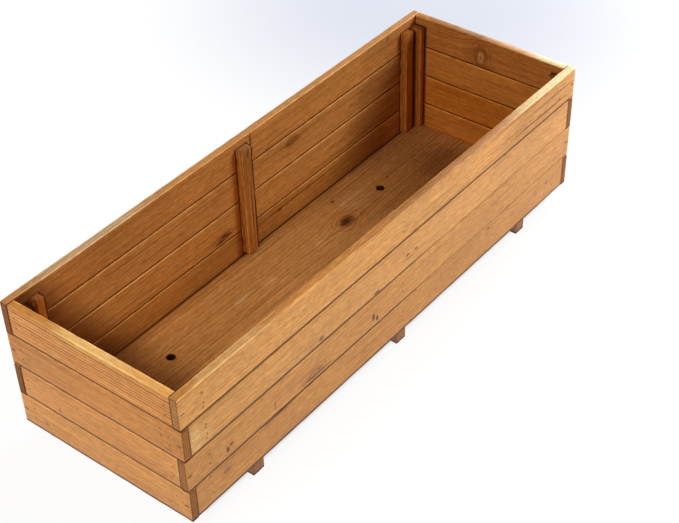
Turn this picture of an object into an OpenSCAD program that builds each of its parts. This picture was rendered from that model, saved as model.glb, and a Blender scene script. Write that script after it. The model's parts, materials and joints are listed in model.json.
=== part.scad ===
// Wooden raised garden bed: four courses of plain boards, lapped by turns at the corners,
// stapled end to end, tied by upright battens inside, on a floor panel and three cross feet.
// Millimetres. X runs along the length, Y across the width, Z up from the ground.
// The origin is on the ground, under the middle of the bed.

/* [Bed] */
// Length of the bed over its end walls
box_l = 1000; // [700:5:1600]
// Width of the bed over its long walls
box_w = 337; // [260:1:600]

/* [Boards] */
// Thickness of every wall board
board_t = 13.5; // [11:0.5:19]
// Height of one course of boards
course_h = 59.5; // [45:0.5:90]
// Bevel that takes the sharpness off the long edges of a board
edge_ease = 1.2; // [0.4:0.1:2]
// How far a lapping board stands proud of the face that it laps
lap_proud = 0.6; // [0:0.1:1.5]

/* [Battens] */
// Width of an upright batten, along the wall that it ties
batten_w = 23; // [18:0.5:30]
// Thickness of an upright batten
batten_t = 13.5; // [12:0.5:20]
// Distance from the rim down to the top of a batten
batten_drop = 16; // [4:1:40]
// Width of a middle batten, along the wall that it ties
middle_batten_w = 26; // [18:0.5:34]
// Distance from the rim down to the top of a middle batten
middle_batten_drop = 13; // [4:1:40]
// How far the middle battens stand to the right of the middle of the bed
middle_batten_x = 2.5; // [-20:0.5:20]
// Space between the two battens of a corner, at the left end
left_corner_gap = 9; // [0.5:0.5:20]
// Space between the two battens of a corner, at the right end
right_corner_gap = 8; // [0.5:0.5:20]
// Bevel on the long edges of a batten
batten_ease = 0.9; // [0.3:0.1:2]

/* [Floor] */
// Thickness of the floor panel
floor_t = 12; // [9:0.5:20]
// Clearance between the floor panel and each wall
floor_clear = 0.4; // [0.2:0.1:0.8]
// Diameter of a drain hole
drain_d = 15; // [8:0.5:22]
// Distance of a drain hole from the nearer end of the bed
drain_from_end = 224; // [120:1:280]
// Distance of a drain hole from the nearer long face of the bed
drain_from_side = 90; // [60:1:110]

/* [Feet] */
// Height of a foot, which is the space under the walls
foot_h = 22; // [14:0.5:40]
// Width of a foot, along the bed
foot_w = 24; // [14:0.5:60]
// Distance of the middle line of an outer foot from the nearer end of the bed
foot_from_end = 145; // [80:1:300]
// How far the ends of a foot sit back from the long faces
foot_recess = 1.5; // [0:0.5:6]
// Bevel on the long edges of a foot
foot_ease = 0.8; // [0.3:0.1:2]

/* [Staples and nails] */
// Width of a staple over its two legs
staple_w = 6.8; // [5:0.1:8]
// Thickness of the staple wire
staple_wire = 1.2; // [0.8:0.1:1.6]
// Length of staple leg that holds in the end grain behind a board
staple_bite = 20; // [12:1:30]
// Shank diameter of a brad
brad_d = 1.3; // [1:0.1:1.8]
// Head diameter of a brad
brad_head_d = 2.6; // [2:0.1:3.4]
// Length of brad that holds in a batten
brad_bite = 10; // [6:0.5:11]
// Distance between the two brads that tie one board to one batten
brad_pitch = 18; // [10:1:30]
// Shank diameter of a nail that holds a foot
nail_d = 2; // [1.4:0.1:3]
// Head diameter of a nail that holds a foot
nail_head_d = 4.2; // [3.2:0.1:6]
// Thickness of the head of a brad or a nail
head_t = 0.9; // [0.5:0.1:1.5]
// Length of foot nail that holds in the edge of a bottom board
wall_bite = 18; // [10:1:30]
// Length of foot nail that holds in the floor panel
floor_bite = 8; // [4:0.5:8]
// Distance of a floor nail from the middle line of the bed
floor_nail_y = 70; // [30:1:100]
// Sideways step of the foot nails from the middle line of the foot
nail_stagger = 6; // [3:0.5:8]
// Depth of a driven head below the face of the wood
sink = 0.7; // [0.3:0.1:1.5]
// Space around a fastener in its pilot hole
pilot = 0.05; // [0.03:0.01:0.1]

/* [Hidden] */
$fn = 24;
// Courses count from the ground up. Even ones lap with their long boards, odd ones with their ends.
COURSES = [1, 2, 3, 4];
rim_z = foot_h + len(COURSES) * course_h;
in_x = box_l / 2 - board_t;
in_y = box_w / 2 - board_t;
floor_top = foot_h + floor_t;
foot_x = box_l / 2 - foot_from_end;
staple_leg = board_t - sink + staple_bite;
brad_l = board_t - sink + brad_bite;
past = 1;

stain = [0.78, 0.54, 0.33];
stain_deep = [0.66, 0.40, 0.20];
stain_floor = [0.60, 0.38, 0.20];
steel = [0.62, 0.60, 0.57];

function course_mid(course) = foot_h + (course - 0.5) * course_h;
function long_laps(course) = course % 2 == 0;
function corner_gap(end) = end < 0 ? left_corner_gap : right_corner_gap;

// Middle of an upright on a long wall: end is -1 at the left, 0 in the middle, 1 at the right
function wall_batten_x(end) =
    end == 0 ? middle_batten_x : end * (in_x - batten_t - corner_gap(end) - batten_w / 2);
function wall_batten_w(end) = end == 0 ? middle_batten_w : batten_w;
function batten_tall(end) = rim_z - (end == 0 ? middle_batten_drop : batten_drop) - floor_top;
function end_batten_y(side) = side * (in_y - batten_w / 2);
function brad_z(course, row) = course_mid(course) + row * brad_pitch / 2;

// Section of a sawn stick, with its four long edges bevelled
module eased_section(wide, high, ease) {
    x = wide / 2;
    y = high / 2;
    polygon([
        [x - ease, -y], [x, -y + ease], [x, y - ease], [x - ease, y],
        [-x + ease, y], [-x, y - ease], [-x, -y + ease], [-x + ease, -y]
    ]);
}

module stick_along_x(long, wide, high, ease) {
    rotate([90, 0, 90]) linear_extrude(long, center = true) eased_section(wide, high, ease);
}

module stick_along_y(long, wide, high, ease) {
    rotate([90, 0, 0]) linear_extrude(long, center = true) eased_section(wide, high, ease);
}

module stick_upright(tall, wide_x, wide_y, ease) {
    linear_extrude(tall, center = true) eased_section(wide_x, wide_y, ease);
}

// A staple driven down from the face z = 0, its crown along X, its legs ground to a chisel point.
// room grows it into the slot and the two holes that it makes.
module staple(room = 0) {
    half = staple_w / 2 + room;
    wire = staple_wire + 2 * room;
    top = room > 0 ? past : -sink;
    tip = -sink - staple_leg - room;
    point = 2 * staple_wire;
    rotate([90, 0, 0]) linear_extrude(wire, center = true) polygon([
        [-half, top], [-half, tip], [-half + wire, tip + point], [-half + wire, -sink - staple_wire - room],
        [half - wire, -sink - staple_wire - room], [half - wire, tip + point], [half, tip], [half, top]
    ]);
}

// A round-headed brad or nail driven down from the face z = 0
module nail(shank_d, cap_d, long, room = 0) {
    translate([0, 0, -sink - long - room]) cylinder(h = long + room, d = shank_d + 2 * room);
    translate([0, 0, -sink - head_t - room])
        cylinder(h = head_t + room + (room > 0 ? sink + past : 0), d = cap_d + 2 * room);
}

// Faces of the walls: what is drawn on z = 0 moves onto the outside of a long wall or an end wall
module on_long_wall(side, x, z) {
    translate([x, side * box_w / 2, z]) rotate([-90 * side, 0, 0]) children();
}

module on_end_wall(end, y, z) {
    translate([end * box_l / 2, y, z]) rotate([0, 90 * end, 0]) rotate([0, 0, 90]) children();
}

// The staple of one corner and one course goes through the board that laps
module corner_staple(end, side, course, room = 0) {
    if (long_laps(course))
        on_long_wall(side, end * (box_l - board_t) / 2, course_mid(course)) staple(room);
    else
        on_end_wall(end, side * (box_w - board_t) / 2, course_mid(course)) staple(room);
}

module wall_brads(side, end, course, room = 0) {
    for (row = [-1, 1])
        on_long_wall(side, wall_batten_x(end), brad_z(course, row)) nail(brad_d, brad_head_d, brad_l, room);
}

module end_brads(end, side, course, room = 0) {
    for (row = [-1, 1])
        on_end_wall(end, end_batten_y(side), brad_z(course, row)) nail(brad_d, brad_head_d, brad_l, room);
}

// The nails of one foot, two up into the bottom boards and two up into the floor
module one_foot_nails(x, room = 0) {
    for (side = [-1, 1]) {
        translate([x + side * nail_stagger, side * (box_w - board_t) / 2, 0]) rotate([180, 0, 0])
            nail(nail_d, nail_head_d, foot_h - sink + wall_bite, room);
        translate([x - side * nail_stagger, side * floor_nail_y, 0]) rotate([180, 0, 0])
            nail(nail_d, nail_head_d, foot_h - sink + floor_bite, room);
    }
}

module all_foot_nails(room = 0) {
    for (x = [-foot_x, 0, foot_x])
        one_foot_nails(x, room);
}

// A board of a long wall, whole length where it laps and cut to fit between the end boards where not
module long_board(side, course) {
    long = long_laps(course) ? box_l + 2 * lap_proud : box_l - 2 * board_t;
    difference() {
        translate([0, side * (box_w - board_t) / 2, course_mid(course)])
            stick_along_x(long, board_t, course_h, edge_ease);
        for (end = [-1, 1])
            corner_staple(end, side, course, pilot);
        for (end = [-1, 0, 1])
            wall_brads(side, end, course, pilot);
        if (course == 1)
            all_foot_nails(pilot);
    }
}

// A board of an end wall, whole width where it laps and cut to fit between the long boards where not
module end_board(end, course) {
    long = long_laps(course) ? box_w - 2 * board_t : box_w + 2 * lap_proud;
    difference() {
        translate([end * (box_l - board_t) / 2, 0, course_mid(course)])
            stick_along_y(long, board_t, course_h, edge_ease);
        for (side = [-1, 1]) {
            corner_staple(end, side, course, pilot);
            end_brads(end, side, course, pilot);
        }
    }
}

module front_board(course) {
    color(stain) long_board(-1, course);
}

module back_board(course) {
    color(stain_deep) long_board(1, course);
}

module left_board(course) {
    color(stain) end_board(-1, course);
}

module right_board(course) {
    color(stain_deep) end_board(1, course);
}

// An upright that ties the boards of a long wall, standing on the floor panel
module wall_batten(side, end) {
    color(stain_deep) difference() {
        translate([wall_batten_x(end), side * (in_y - batten_t / 2), floor_top + batten_tall(end) / 2])
            stick_upright(batten_tall(end), wall_batten_w(end), batten_t, batten_ease);
        for (course = COURSES)
            wall_brads(side, end, course, pilot);
    }
}

// An upright that ties the boards of an end wall, tight in the corner
module end_batten(end, side) {
    color(stain_deep) difference() {
        translate([end * (in_x - batten_t / 2), end_batten_y(side), floor_top + batten_tall(end) / 2])
            stick_upright(batten_tall(end), batten_t, batten_w, batten_ease);
        for (course = COURSES)
            end_brads(end, side, course, pilot);
    }
}

// One wide panel with four drain holes, let in between the walls and flush with their lower edges
module floor_panel() {
    color(stain_floor) difference() {
        translate([0, 0, foot_h + floor_t / 2])
            cube([2 * (in_x - floor_clear), 2 * (in_y - floor_clear), floor_t], center = true);
        for (end = [-1, 1], side = [-1, 1])
            translate([end * (box_l / 2 - drain_from_end), side * (box_w / 2 - drain_from_side), foot_h - past])
                cylinder(h = floor_t + 2 * past, d = drain_d, $fn = 48);
        all_foot_nails(pilot);
    }
}

// A cross foot under the floor and the bottom boards
module foot(x) {
    color(stain_deep) difference() {
        translate([x, 0, foot_h / 2])
            stick_along_y(box_w - 2 * foot_recess, foot_w, foot_h, foot_ease);
        one_foot_nails(x, pilot);
    }
}

module corner_staples() {
    color(steel)
        for (course = COURSES, end = [-1, 1], side = [-1, 1])
            corner_staple(end, side, course);
}

module batten_brads() {
    color(steel)
        for (course = COURSES, side = [-1, 1]) {
            for (end = [-1, 0, 1])
                wall_brads(side, end, course);
            for (end = [-1, 1])
                end_brads(end, side, course);
        }
}

module foot_nails() {
    color(steel) all_foot_nails();
}

front_board(1);  // front_board_1
front_board(2);  // front_board_2
front_board(3);  // front_board_3
front_board(4);  // front_board_4
back_board(1);  // back_board_1
back_board(2);  // back_board_2
back_board(3);  // back_board_3
back_board(4);  // back_board_4
left_board(1);  // left_board_1
left_board(2);  // left_board_2
left_board(3);  // left_board_3
left_board(4);  // left_board_4
right_board(1);  // right_board_1
right_board(2);  // right_board_2
right_board(3);  // right_board_3
right_board(4);  // right_board_4
wall_batten(-1, -1);  // front_left_wall_batten
wall_batten(-1, 1);  // front_right_wall_batten
wall_batten(1, -1);  // back_left_wall_batten
wall_batten(1, 1);  // back_right_wall_batten
wall_batten(-1, 0);  // front_middle_batten
wall_batten(1, 0);  // back_middle_batten
end_batten(-1, -1);  // front_left_end_batten
end_batten(-1, 1);  // back_left_end_batten
end_batten(1, -1);  // front_right_end_batten
end_batten(1, 1);  // back_right_end_batten
floor_panel();
foot(-foot_x);  // left_foot
foot(0);  // middle_foot
foot(foot_x);  // right_foot
corner_staples();
batten_brads();
foot_nails();
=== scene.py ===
# %% [markdown]
# # A wooden raised garden bed
#
# The bed is a long box of plain softwood boards, stained honey brown. Four courses of boards lap by
# turns at the corners, upright battens tie them inside, and the floor stands on three cross feet.
# The packed CAD model is the frame: it says where every board is. This script gives each board the
# shape, the grain and the wear of real sawn timber, and sets up the light and the camera.

# %% Load the CAD frame
import json
import math

import bmesh
import bpy
from mathutils import Euler, Matrix, Vector, noise

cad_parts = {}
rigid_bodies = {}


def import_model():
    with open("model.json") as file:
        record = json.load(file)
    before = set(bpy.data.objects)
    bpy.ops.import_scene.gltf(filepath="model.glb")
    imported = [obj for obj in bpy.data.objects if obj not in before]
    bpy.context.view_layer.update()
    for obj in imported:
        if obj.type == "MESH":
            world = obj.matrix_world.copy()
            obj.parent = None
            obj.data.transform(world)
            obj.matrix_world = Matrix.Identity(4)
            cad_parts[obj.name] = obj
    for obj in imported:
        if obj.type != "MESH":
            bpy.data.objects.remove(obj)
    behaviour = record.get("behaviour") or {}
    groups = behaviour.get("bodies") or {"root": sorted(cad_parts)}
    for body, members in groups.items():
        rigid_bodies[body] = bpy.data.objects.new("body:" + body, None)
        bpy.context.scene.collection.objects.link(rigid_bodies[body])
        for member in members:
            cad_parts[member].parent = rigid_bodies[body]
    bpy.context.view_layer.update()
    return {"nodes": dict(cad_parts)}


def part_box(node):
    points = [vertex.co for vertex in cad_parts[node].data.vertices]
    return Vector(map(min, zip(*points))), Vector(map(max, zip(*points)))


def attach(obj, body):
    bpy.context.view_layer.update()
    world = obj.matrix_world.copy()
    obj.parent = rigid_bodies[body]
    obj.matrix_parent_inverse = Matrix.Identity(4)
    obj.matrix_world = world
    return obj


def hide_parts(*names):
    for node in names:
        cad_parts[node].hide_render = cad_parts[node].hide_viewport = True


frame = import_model()
nodes = frame["nodes"]
scene = bpy.context.scene
MM = 0.001

# %% [markdown]
# ## The camera
#
# The view comes from in front of the left end and looks down, so both ends, the inside and the floor
# show. A camera can be aimed at a target with a constraint, but a fixed place and three angles say
# the same and never move by themselves.

# %% Camera
CAMERA_PLACE = (-1.4002, -1.1644, 1.5653)
CAMERA_TILT, CAMERA_ROLL, CAMERA_TURN = 48.763, 1.491, -51.976
LENS_MM, SENSOR_MM = 76.27, 36.0
SHIFT = (0.01674, 0.07669)

lens = bpy.data.cameras.new("camera")
lens.lens, lens.sensor_width = LENS_MM, SENSOR_MM
lens.shift_x, lens.shift_y = SHIFT
camera = bpy.data.objects.new("camera", lens)
camera.location = CAMERA_PLACE
camera.rotation_euler = [math.radians(a) for a in (CAMERA_TILT, CAMERA_ROLL, CAMERA_TURN)]
scene.collection.objects.link(camera)
scene.camera = camera
print("camera is", round(camera.location.length, 2), "m from the middle of the bed")

# %% [markdown]
# ## A short way to write node trees
#
# Wood needs nearly a hundred nodes. Each could be made and linked by hand, but then the sums get lost
# in the wiring. A small class that adds a node and feeds its sockets in one call keeps them readable.

# %% Node tree helper
class Tree:
    """A shader node tree, with one call to add a node and feed it."""

    def __init__(self, tree):
        self.tree = tree
        tree.nodes.clear()

    def add(self, kind, **settings):
        node = self.tree.nodes.new("ShaderNode" + kind)
        for key, value in settings.items():
            setattr(node, key, value)
        return node

    def feed(self, socket, source):
        """Link a socket from another one, or give it a plain value."""
        if isinstance(source, bpy.types.NodeSocket):
            self.tree.links.new(source, socket)
        else:
            socket.default_value = source

    def math(self, operation, *sources, clamp=False):
        node = self.add("Math", operation=operation, use_clamp=clamp)
        for socket, source in zip(node.inputs, sources):
            self.feed(socket, source)
        return node.outputs[0]

    def vector(self, operation, *sources):
        """A vector sum. Length and dot product come out as a number."""
        node = self.add("VectorMath", operation=operation)
        for socket, source in zip(node.inputs, sources):
            self.feed(socket, source)
        return node.outputs["Value" if operation in ("LENGTH", "DOT_PRODUCT") else "Vector"]

    def scale(self, vector, factor):
        """A vector times a number."""
        node = self.add("VectorMath", operation="SCALE")
        self.feed(node.inputs["Vector"], vector)
        self.feed(node.inputs["Scale"], factor)
        return node.outputs["Vector"]

    def split(self, vector):
        node = self.add("SeparateXYZ")
        self.feed(node.inputs[0], vector)
        return node.outputs

    def join(self, x, y, z):
        node = self.add("CombineXYZ")
        for socket, source in zip(node.inputs, (x, y, z)):
            self.feed(socket, source)
        return node.outputs[0]

    def noise(self, vector, scale, detail=3.0, roughness=0.5):
        """Soft noise from 0 to 1, with a scale for each direction."""
        node = self.add("TexNoise")
        self.feed(node.inputs["Vector"], self.vector("MULTIPLY", vector, scale))
        node.inputs["Scale"].default_value = 1.0
        node.inputs["Detail"].default_value = detail
        node.inputs["Roughness"].default_value = roughness
        return node.outputs["Fac"]

    def step(self, value, start, end, first=0.0, last=1.0):
        """A smooth step from first to last as the value goes from start to end."""
        node = self.add("MapRange", interpolation_type="SMOOTHSTEP")
        for socket, source in zip(node.inputs, (value, start, end, first, last)):
            self.feed(socket, source)
        return node.outputs[0]

    def mix(self, factor, a, b, blend="MIX"):
        node = self.add("Mix", data_type="RGBA", blend_type=blend)
        self.feed(node.inputs["Factor"], factor)
        self.feed(node.inputs["A"], a)
        self.feed(node.inputs["B"], b)
        return node.outputs["Result"]

    def tint(self, factor, a, b):
        """Colour a, multiplied by colour b as far as the factor says."""
        return self.mix(factor, a, b, "MULTIPLY")


print("node helper has", len([name for name in vars(Tree) if not name.startswith("_")]), "calls")

# %% [markdown]
# What more than one material needs goes into a node group, which is built once and placed in each
# material with its own values. Colours are written as on the screen, with a hex code, and turned into
# the linear light that nodes work in.

# %% Groups, materials and colours
SOCKETS = {"float": "NodeSocketFloat", "vector": "NodeSocketVector", "colour": "NodeSocketColor"}


def new_group(name, inputs, outputs):
    """A node group with named sockets: the group, its tree, its inputs and what it puts out."""
    group = bpy.data.node_groups.new(name, "ShaderNodeTree")
    for way, sockets in (("INPUT", inputs), ("OUTPUT", outputs)):
        for socket_name, kind in sockets.items():
            group.interface.new_socket(socket_name, in_out=way, socket_type=SOCKETS[kind])
    tree = Tree(group)
    group_in = group.nodes.new("NodeGroupInput")
    group_out = group.nodes.new("NodeGroupOutput")
    return group, tree, group_in.outputs, group_out.inputs


def place_group(tree, group, **sources):
    """Put a node group in a tree and feed its inputs by name, with _ for a space."""
    node = tree.add("Group", node_tree=group)
    for name, source in sources.items():
        tree.feed(node.inputs[name.replace("_", " ")], source)
    return node.outputs


def new_material(name):
    material = bpy.data.materials.new(name)
    material.use_nodes = True
    return material, Tree(material.node_tree)


def colour(hex_code):
    """An sRGB colour such as C8935A as linear red, green, blue and alpha."""
    parts = [int(hex_code[i:i + 2], 16) / 255 for i in (0, 2, 4)]
    linear = [p / 12.92 if p <= 0.04045 else ((p + 0.055) / 1.055) ** 2.4 for p in parts]
    return (*linear, 1.0)


print("a honey brown in linear light:", [round(v, 3) for v in colour("CB935E")])

# %% [markdown]
# ## The floor and the light
#
# The bed stands on white studio paper. Real paper that fills the picture also throws a lot of light
# up at the boards. Its material glows a little for every ray, which gives that light, and another
# mix for camera rays makes the paper itself come out white while it keeps the soft shadow of the bed.

# %% Studio floor
PAPER_HALF = 8.0

bm = bmesh.new()
bmesh.ops.create_grid(bm, x_segments=1, y_segments=1, size=PAPER_HALF)
floor_mesh = bpy.data.meshes.new("studio_floor")
bm.to_mesh(floor_mesh)
bm.free()
studio_floor = bpy.data.objects.new("studio_floor", floor_mesh)
scene.collection.objects.link(studio_floor)
print("the paper is", 2 * PAPER_HALF, "m wide")

# %% [markdown]
# Two things change the paper from place to place. Behind the far end of the bed the light falls off to a
# faint blue. Under the bed the paper has a painted shadow: glow and colour both stop there, or the drain
# holes and the gaps beside the feet would shine from below.

# %% Studio paper
FAR_CORNER = (0.95, 0.45, 0)
DUSK_EDGE, DUSK_HEART = 0.75, 0.12
DUSK = (0.66, 0.69, 0.79, 1)
UNDER_BED = (0.455, 0.150, 0)
SHADE_BLUR = 0.012
UNDER_BED_SHADOW_TONE = (0.01, 0.01, 0.01, 1)
OTHER_RAYS = {"grey": 0.80, "glow": 0.70}
CAMERA_RAYS = {"grey": 0.15, "glow": 0.91}


def glowing_paper(t, under_bed_shadow, glow_tone, grey, glow):
    """Matt paper that also gives off light, and goes dark in the painted shadow under the bed."""
    matt = t.add("BsdfDiffuse")
    t.feed(matt.inputs["Color"], t.mix(under_bed_shadow, (grey, grey, grey, 1), UNDER_BED_SHADOW_TONE))
    light = t.add("Emission")
    light.inputs["Strength"].default_value = glow
    t.feed(light.inputs["Color"], t.mix(under_bed_shadow, glow_tone, UNDER_BED_SHADOW_TONE))
    both = t.add("AddShader")
    t.feed(both.inputs[0], matt.outputs[0])
    t.feed(both.inputs[1], light.outputs[0])
    return both.outputs[0]


paper, t = new_material("white studio paper")
place = t.add("TexCoord").outputs["Object"]
away = t.vector("MULTIPLY", t.vector("SUBTRACT", place, FAR_CORNER), (1, 1, 0))
dusk = t.step(t.vector("LENGTH", away), DUSK_EDGE, DUSK_HEART)
glow_tone = t.mix(dusk, (1, 1, 1, 1), DUSK)
# A painted shadow under the bed, where the paper goes dark.
under = t.split(t.vector("SUBTRACT", t.vector("ABSOLUTE", place), UNDER_BED))
under_bed_shadow = t.step(t.math("MAXIMUM", under["X"], under["Y"]), SHADE_BLUR, -SHADE_BLUR)
pick = t.add("MixShader")
t.feed(pick.inputs["Fac"], t.add("LightPath").outputs["Is Camera Ray"])
t.feed(pick.inputs[1], glowing_paper(t, under_bed_shadow, glow_tone, **OTHER_RAYS))
t.feed(pick.inputs[2], glowing_paper(t, under_bed_shadow, glow_tone, **CAMERA_RAYS))
t.feed(t.add("OutputMaterial").inputs["Surface"], pick.outputs[0])
floor_mesh.materials.append(paper)
print("paper glows", OTHER_RAYS["glow"], "on the bed and", CAMERA_RAYS["glow"], "in the picture")

# %% [markdown]
# Three soft lamps are enough. The one on the right skims the rims and shines back from them, and it
# leaves the near right corner of the inside dark. The one in front lights the long wall, and the high
# one on the left lights the end. A sky would also do, but it would fill the inside of the box.

# %% Lamps and world
LAMP_SIZE = 1.2
LAMPS = {
    "right_softbox": ((2.44, 0.37, 1.25), 58),
    "front_softbox": ((2.0, -1.8, 1.7), 40),
    "left_softbox": ((-1.9, 0.0, 2.1), 26),
}
LAMP_TARGET = Vector((0, 0, 0.12))
WORLD_LIGHT = 0.03

for name, (place, power) in LAMPS.items():
    lamp = bpy.data.lights.new(name, "AREA")
    lamp.shape, lamp.size, lamp.energy = "SQUARE", LAMP_SIZE, power
    softbox = bpy.data.objects.new(name, lamp)
    softbox.location = place
    softbox.rotation_euler = (LAMP_TARGET - Vector(place)).to_track_quat("-Z", "Y").to_euler()
    scene.collection.objects.link(softbox)

world = bpy.data.worlds.new("studio")
world.use_nodes = True
world.node_tree.nodes["Background"].inputs["Color"].default_value = (1, 1, 1, 1)
world.node_tree.nodes["Background"].inputs["Strength"].default_value = WORLD_LIGHT
scene.world = world
scene.view_settings.view_transform = "Standard"
print("lamps:", ", ".join(LAMPS))

# %% [markdown]
# ## The pieces of timber
#
# A board from a sawmill is nearly a box, and what makes it a board is the rest: worn arrises, small
# chips, a slight bow, and the holes its nails were driven through. A cube is cut into loops, its
# edges are bevelled, and then the points are pushed about by noise. The holes are real ones, cut
# with a boolean at the places where the CAD model has its staples, brads and nails.

# %% Where the fasteners are
def islands(node_name):
    """The box of each separate solid in a CAD node, as (lowest, highest) corners."""
    merged = bmesh.new()
    merged.from_mesh(nodes[node_name].data)
    bmesh.ops.remove_doubles(merged, verts=merged.verts, dist=0.001 * MM)
    left_over = set(merged.verts)
    boxes = []
    while left_over:
        reached = [left_over.pop()]
        for vert in reached:
            for edge in vert.link_edges:
                other = edge.other_vert(vert)
                if other in left_over:
                    left_over.remove(other)
                    reached.append(other)
        boxes.append(tuple(Vector(pick(v.co[i] for v in reached) for i in range(3)) for pick in (min, max)))
    merged.free()
    return sorted(boxes, key=lambda box: tuple(box[0]))


brads, nails, staples = (islands(name) for name in ("batten_brads", "foot_nails", "corner_staples"))
print(len(brads), "brads,", len(nails), "nails and", len(staples), "staples")

# %% [markdown]
# A hole could be copied from the CAD solid, but a cutter of its own can be a little larger. Brads and
# nails are round, so half their outline is spun about the shank. A head is sunk below the face, and
# the cutter reaches a millimetre out of the wood, so that no skin is left over the hole.

# %% Cutters for brads and nails
# Radii of shank and head, and how deep the head reaches
BRAD = {"shank": 0.70 * MM, "head": 1.35 * MM, "head_deep": 1.0 * MM}
NAIL = {"shank": 1.05 * MM, "head": 2.15 * MM, "head_deep": 1.1 * MM}
SINK = 0.7 * MM
PROUD = SINK + MM
ROOM = 0.05 * MM
MERGE = 0.01 * MM


def head_frame(box):
    """Where a fastener's head is, with local Z pointing out of the wood, and the length below it."""
    size = box[1] - box[0]
    axis = max(range(3), key=lambda i: size[i])
    middle = (box[0] + box[1]) / 2
    # The feet are nailed from below, everything else from outside
    outwards = -1 if axis == 2 or middle[axis] < 0 else 1
    head = middle.copy()
    head[axis] = (box[0] if outwards < 0 else box[1])[axis]
    z_way = Vector([outwards * (i == axis) for i in range(3)])
    x_way = Vector((0, 0, 1)).cross(z_way) if axis != 2 else Vector((1, 0, 0))
    turn = Matrix((x_way, z_way.cross(x_way), z_way)).transposed().to_4x4()
    return Matrix.Translation(head) @ turn, size[axis] + ROOM


def turned_cutter(bm, place, profile, steps=14):
    """A solid of revolution about its local Z, from a profile of (radius, height) points."""
    known = set(bm.verts)
    verts = [bm.verts.new((radius, 0, z)) for radius, z in profile]
    edges = [bm.edges.new(pair) for pair in zip(verts, verts[1:])]
    bmesh.ops.spin(bm, geom=verts + edges, cent=(0, 0, 0), axis=(0, 0, 1), angle=math.tau,
                   steps=steps, use_merge=True)
    bmesh.ops.transform(bm, matrix=place, verts=[v for v in bm.verts if v not in known])


def pin_cutter(bm, box, shank, head, head_deep):
    """The hole of a brad or nail: wide at the head, thin along the shank."""
    place, long = head_frame(box)
    turned_cutter(bm, place, [(0, PROUD), (head, PROUD), (head, -head_deep), (shank, -head_deep),
                              (shank, -long), (0, -long)])


print("brad heads are", round(2 * BRAD["head"] / MM, 1), "mm wide and sunk", SINK / MM, "mm")

# %% [markdown]
# A staple's crown lies along the board in a torn slot, and its two legs go on into the wood. The slot
# is a cube. Two cuts part off the ends of its underside, and those faces are pulled down the length
# of the legs.

# %% Cutter for a staple
STAPLE_WIRE = 1.3 * MM
SLOT_TORN = 0.55 * MM


def staple_cutter(bm, box):
    """A slot for a staple's crown, with a channel for each leg."""
    place, long = head_frame(box)
    width = sorted(box[1] - box[0])[1] + 2 * SLOT_TORN
    to_leg = width / 2 - 2 * STAPLE_WIRE
    deep = STAPLE_WIRE + ROOM
    crown = bmesh.ops.create_cube(bm, size=1)["verts"]
    bmesh.ops.scale(bm, vec=(width, STAPLE_WIRE + 2 * SLOT_TORN, PROUD + deep), verts=crown)
    bmesh.ops.translate(bm, vec=(0, 0, (PROUD - deep) / 2), verts=crown)
    made = set(crown)
    for side in (-1, 1):
        edges = {e for v in made for e in v.link_edges}
        faces = {f for v in made for f in v.link_faces}
        cut = bmesh.ops.bisect_plane(bm, geom=[*made, *edges, *faces], plane_co=(side * to_leg, 0, 0),
                                     plane_no=(1, 0, 0))
        made.update(g for g in cut["geom_cut"] if isinstance(g, bmesh.types.BMVert))
    faces = {f for v in made for f in v.link_faces}
    legs = [f for f in faces if f.normal.z < -0.9 and abs(f.calc_center_median().x) > to_leg]
    grown = bmesh.ops.extrude_discrete_faces(bm, faces=legs)["faces"]
    tips = {v for f in grown for v in f.verts}
    bmesh.ops.translate(bm, vec=(0, 0, deep - long), verts=list(tips))
    bmesh.ops.transform(bm, matrix=place, verts=list(made | tips))


print("a staple's slot is", round((STAPLE_WIRE + 2 * SLOT_TORN) / MM, 1), "mm high")

# %% [markdown]
# Several fasteners hold each board. One boolean for each would be slow, so all the cutters that reach
# into a piece are gathered in one bmesh and cut away together.

# %% All the cutters for one piece
def touches(box, other, room=0.0):
    return all(box[0][i] < other[1][i] + room and box[1][i] > other[0][i] - room for i in range(3))


def cutters_for(box):
    """All the fastener holes that reach into one piece of timber, as one bmesh."""
    bm = bmesh.new()
    for brad in (b for b in brads if touches(b, box)):
        pin_cutter(bm, brad, **BRAD)
    for nail in (n for n in nails if touches(n, box)):
        pin_cutter(bm, nail, **NAIL)
    for staple in (s for s in staples if touches(s, box)):
        staple_cutter(bm, staple)
    bmesh.ops.remove_doubles(bm, verts=bm.verts, dist=MERGE)
    bmesh.ops.recalc_face_normals(bm, faces=bm.faces)
    return bm


probe = cutters_for(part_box("left_board_3"))
print("holes in one end board need", len(probe.faces), "cutter faces")
probe.free()

# %% [markdown]
# The loops come first, while the piece is still a plain box, because a cube divides into neat rings.
# The bevel then rounds the arrises. The wear takes a little off the arrises, more in some places than
# in others, and the bow bends the piece by less than its own roughness, so that no two boards catch
# the light alike.

# %% Loops, arrises and wear
LOOP_STEP = {"long": 6.5 * MM, "wide": 8.0 * MM, "thick": 7.0 * MM}
NEAR_ARRIS, NEAR_END, STIFF_END = 3 * MM, 2 * MM, 40 * MM
ROUGH_WAVES, BROAD_WAVES, END_WAVES, BOW_WAVES = (55, 9, 9), (11, 5, 1), (90, 120, 120), (2.2, 9, 1)
THICK_LOSS, END_LOSS = 0.7, 0.6


def order_of_axes(box):
    """The long, wide and thick direction of a piece, as 0, 1 or 2."""
    size = box[1] - box[0]
    return sorted(range(3), key=lambda i: -size[i])


def box_with_loops(box, steps):
    size = box[1] - box[0]
    bm = bmesh.new()
    bmesh.ops.create_cube(bm, size=1)
    bmesh.ops.scale(bm, vec=size, verts=bm.verts)
    for axis, kind in zip(order_of_axes(box), ("long", "wide", "thick")):
        cuts = max(round(size[axis] / steps[kind]) - 1, 0)
        edges = [e for e in bm.edges if abs((e.verts[0].co - e.verts[1].co).normalized()[axis]) > 0.9]
        if cuts:
            bmesh.ops.subdivide_edges(bm, edges=edges, cuts=cuts, use_grid_fill=True)
    return bm


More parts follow.
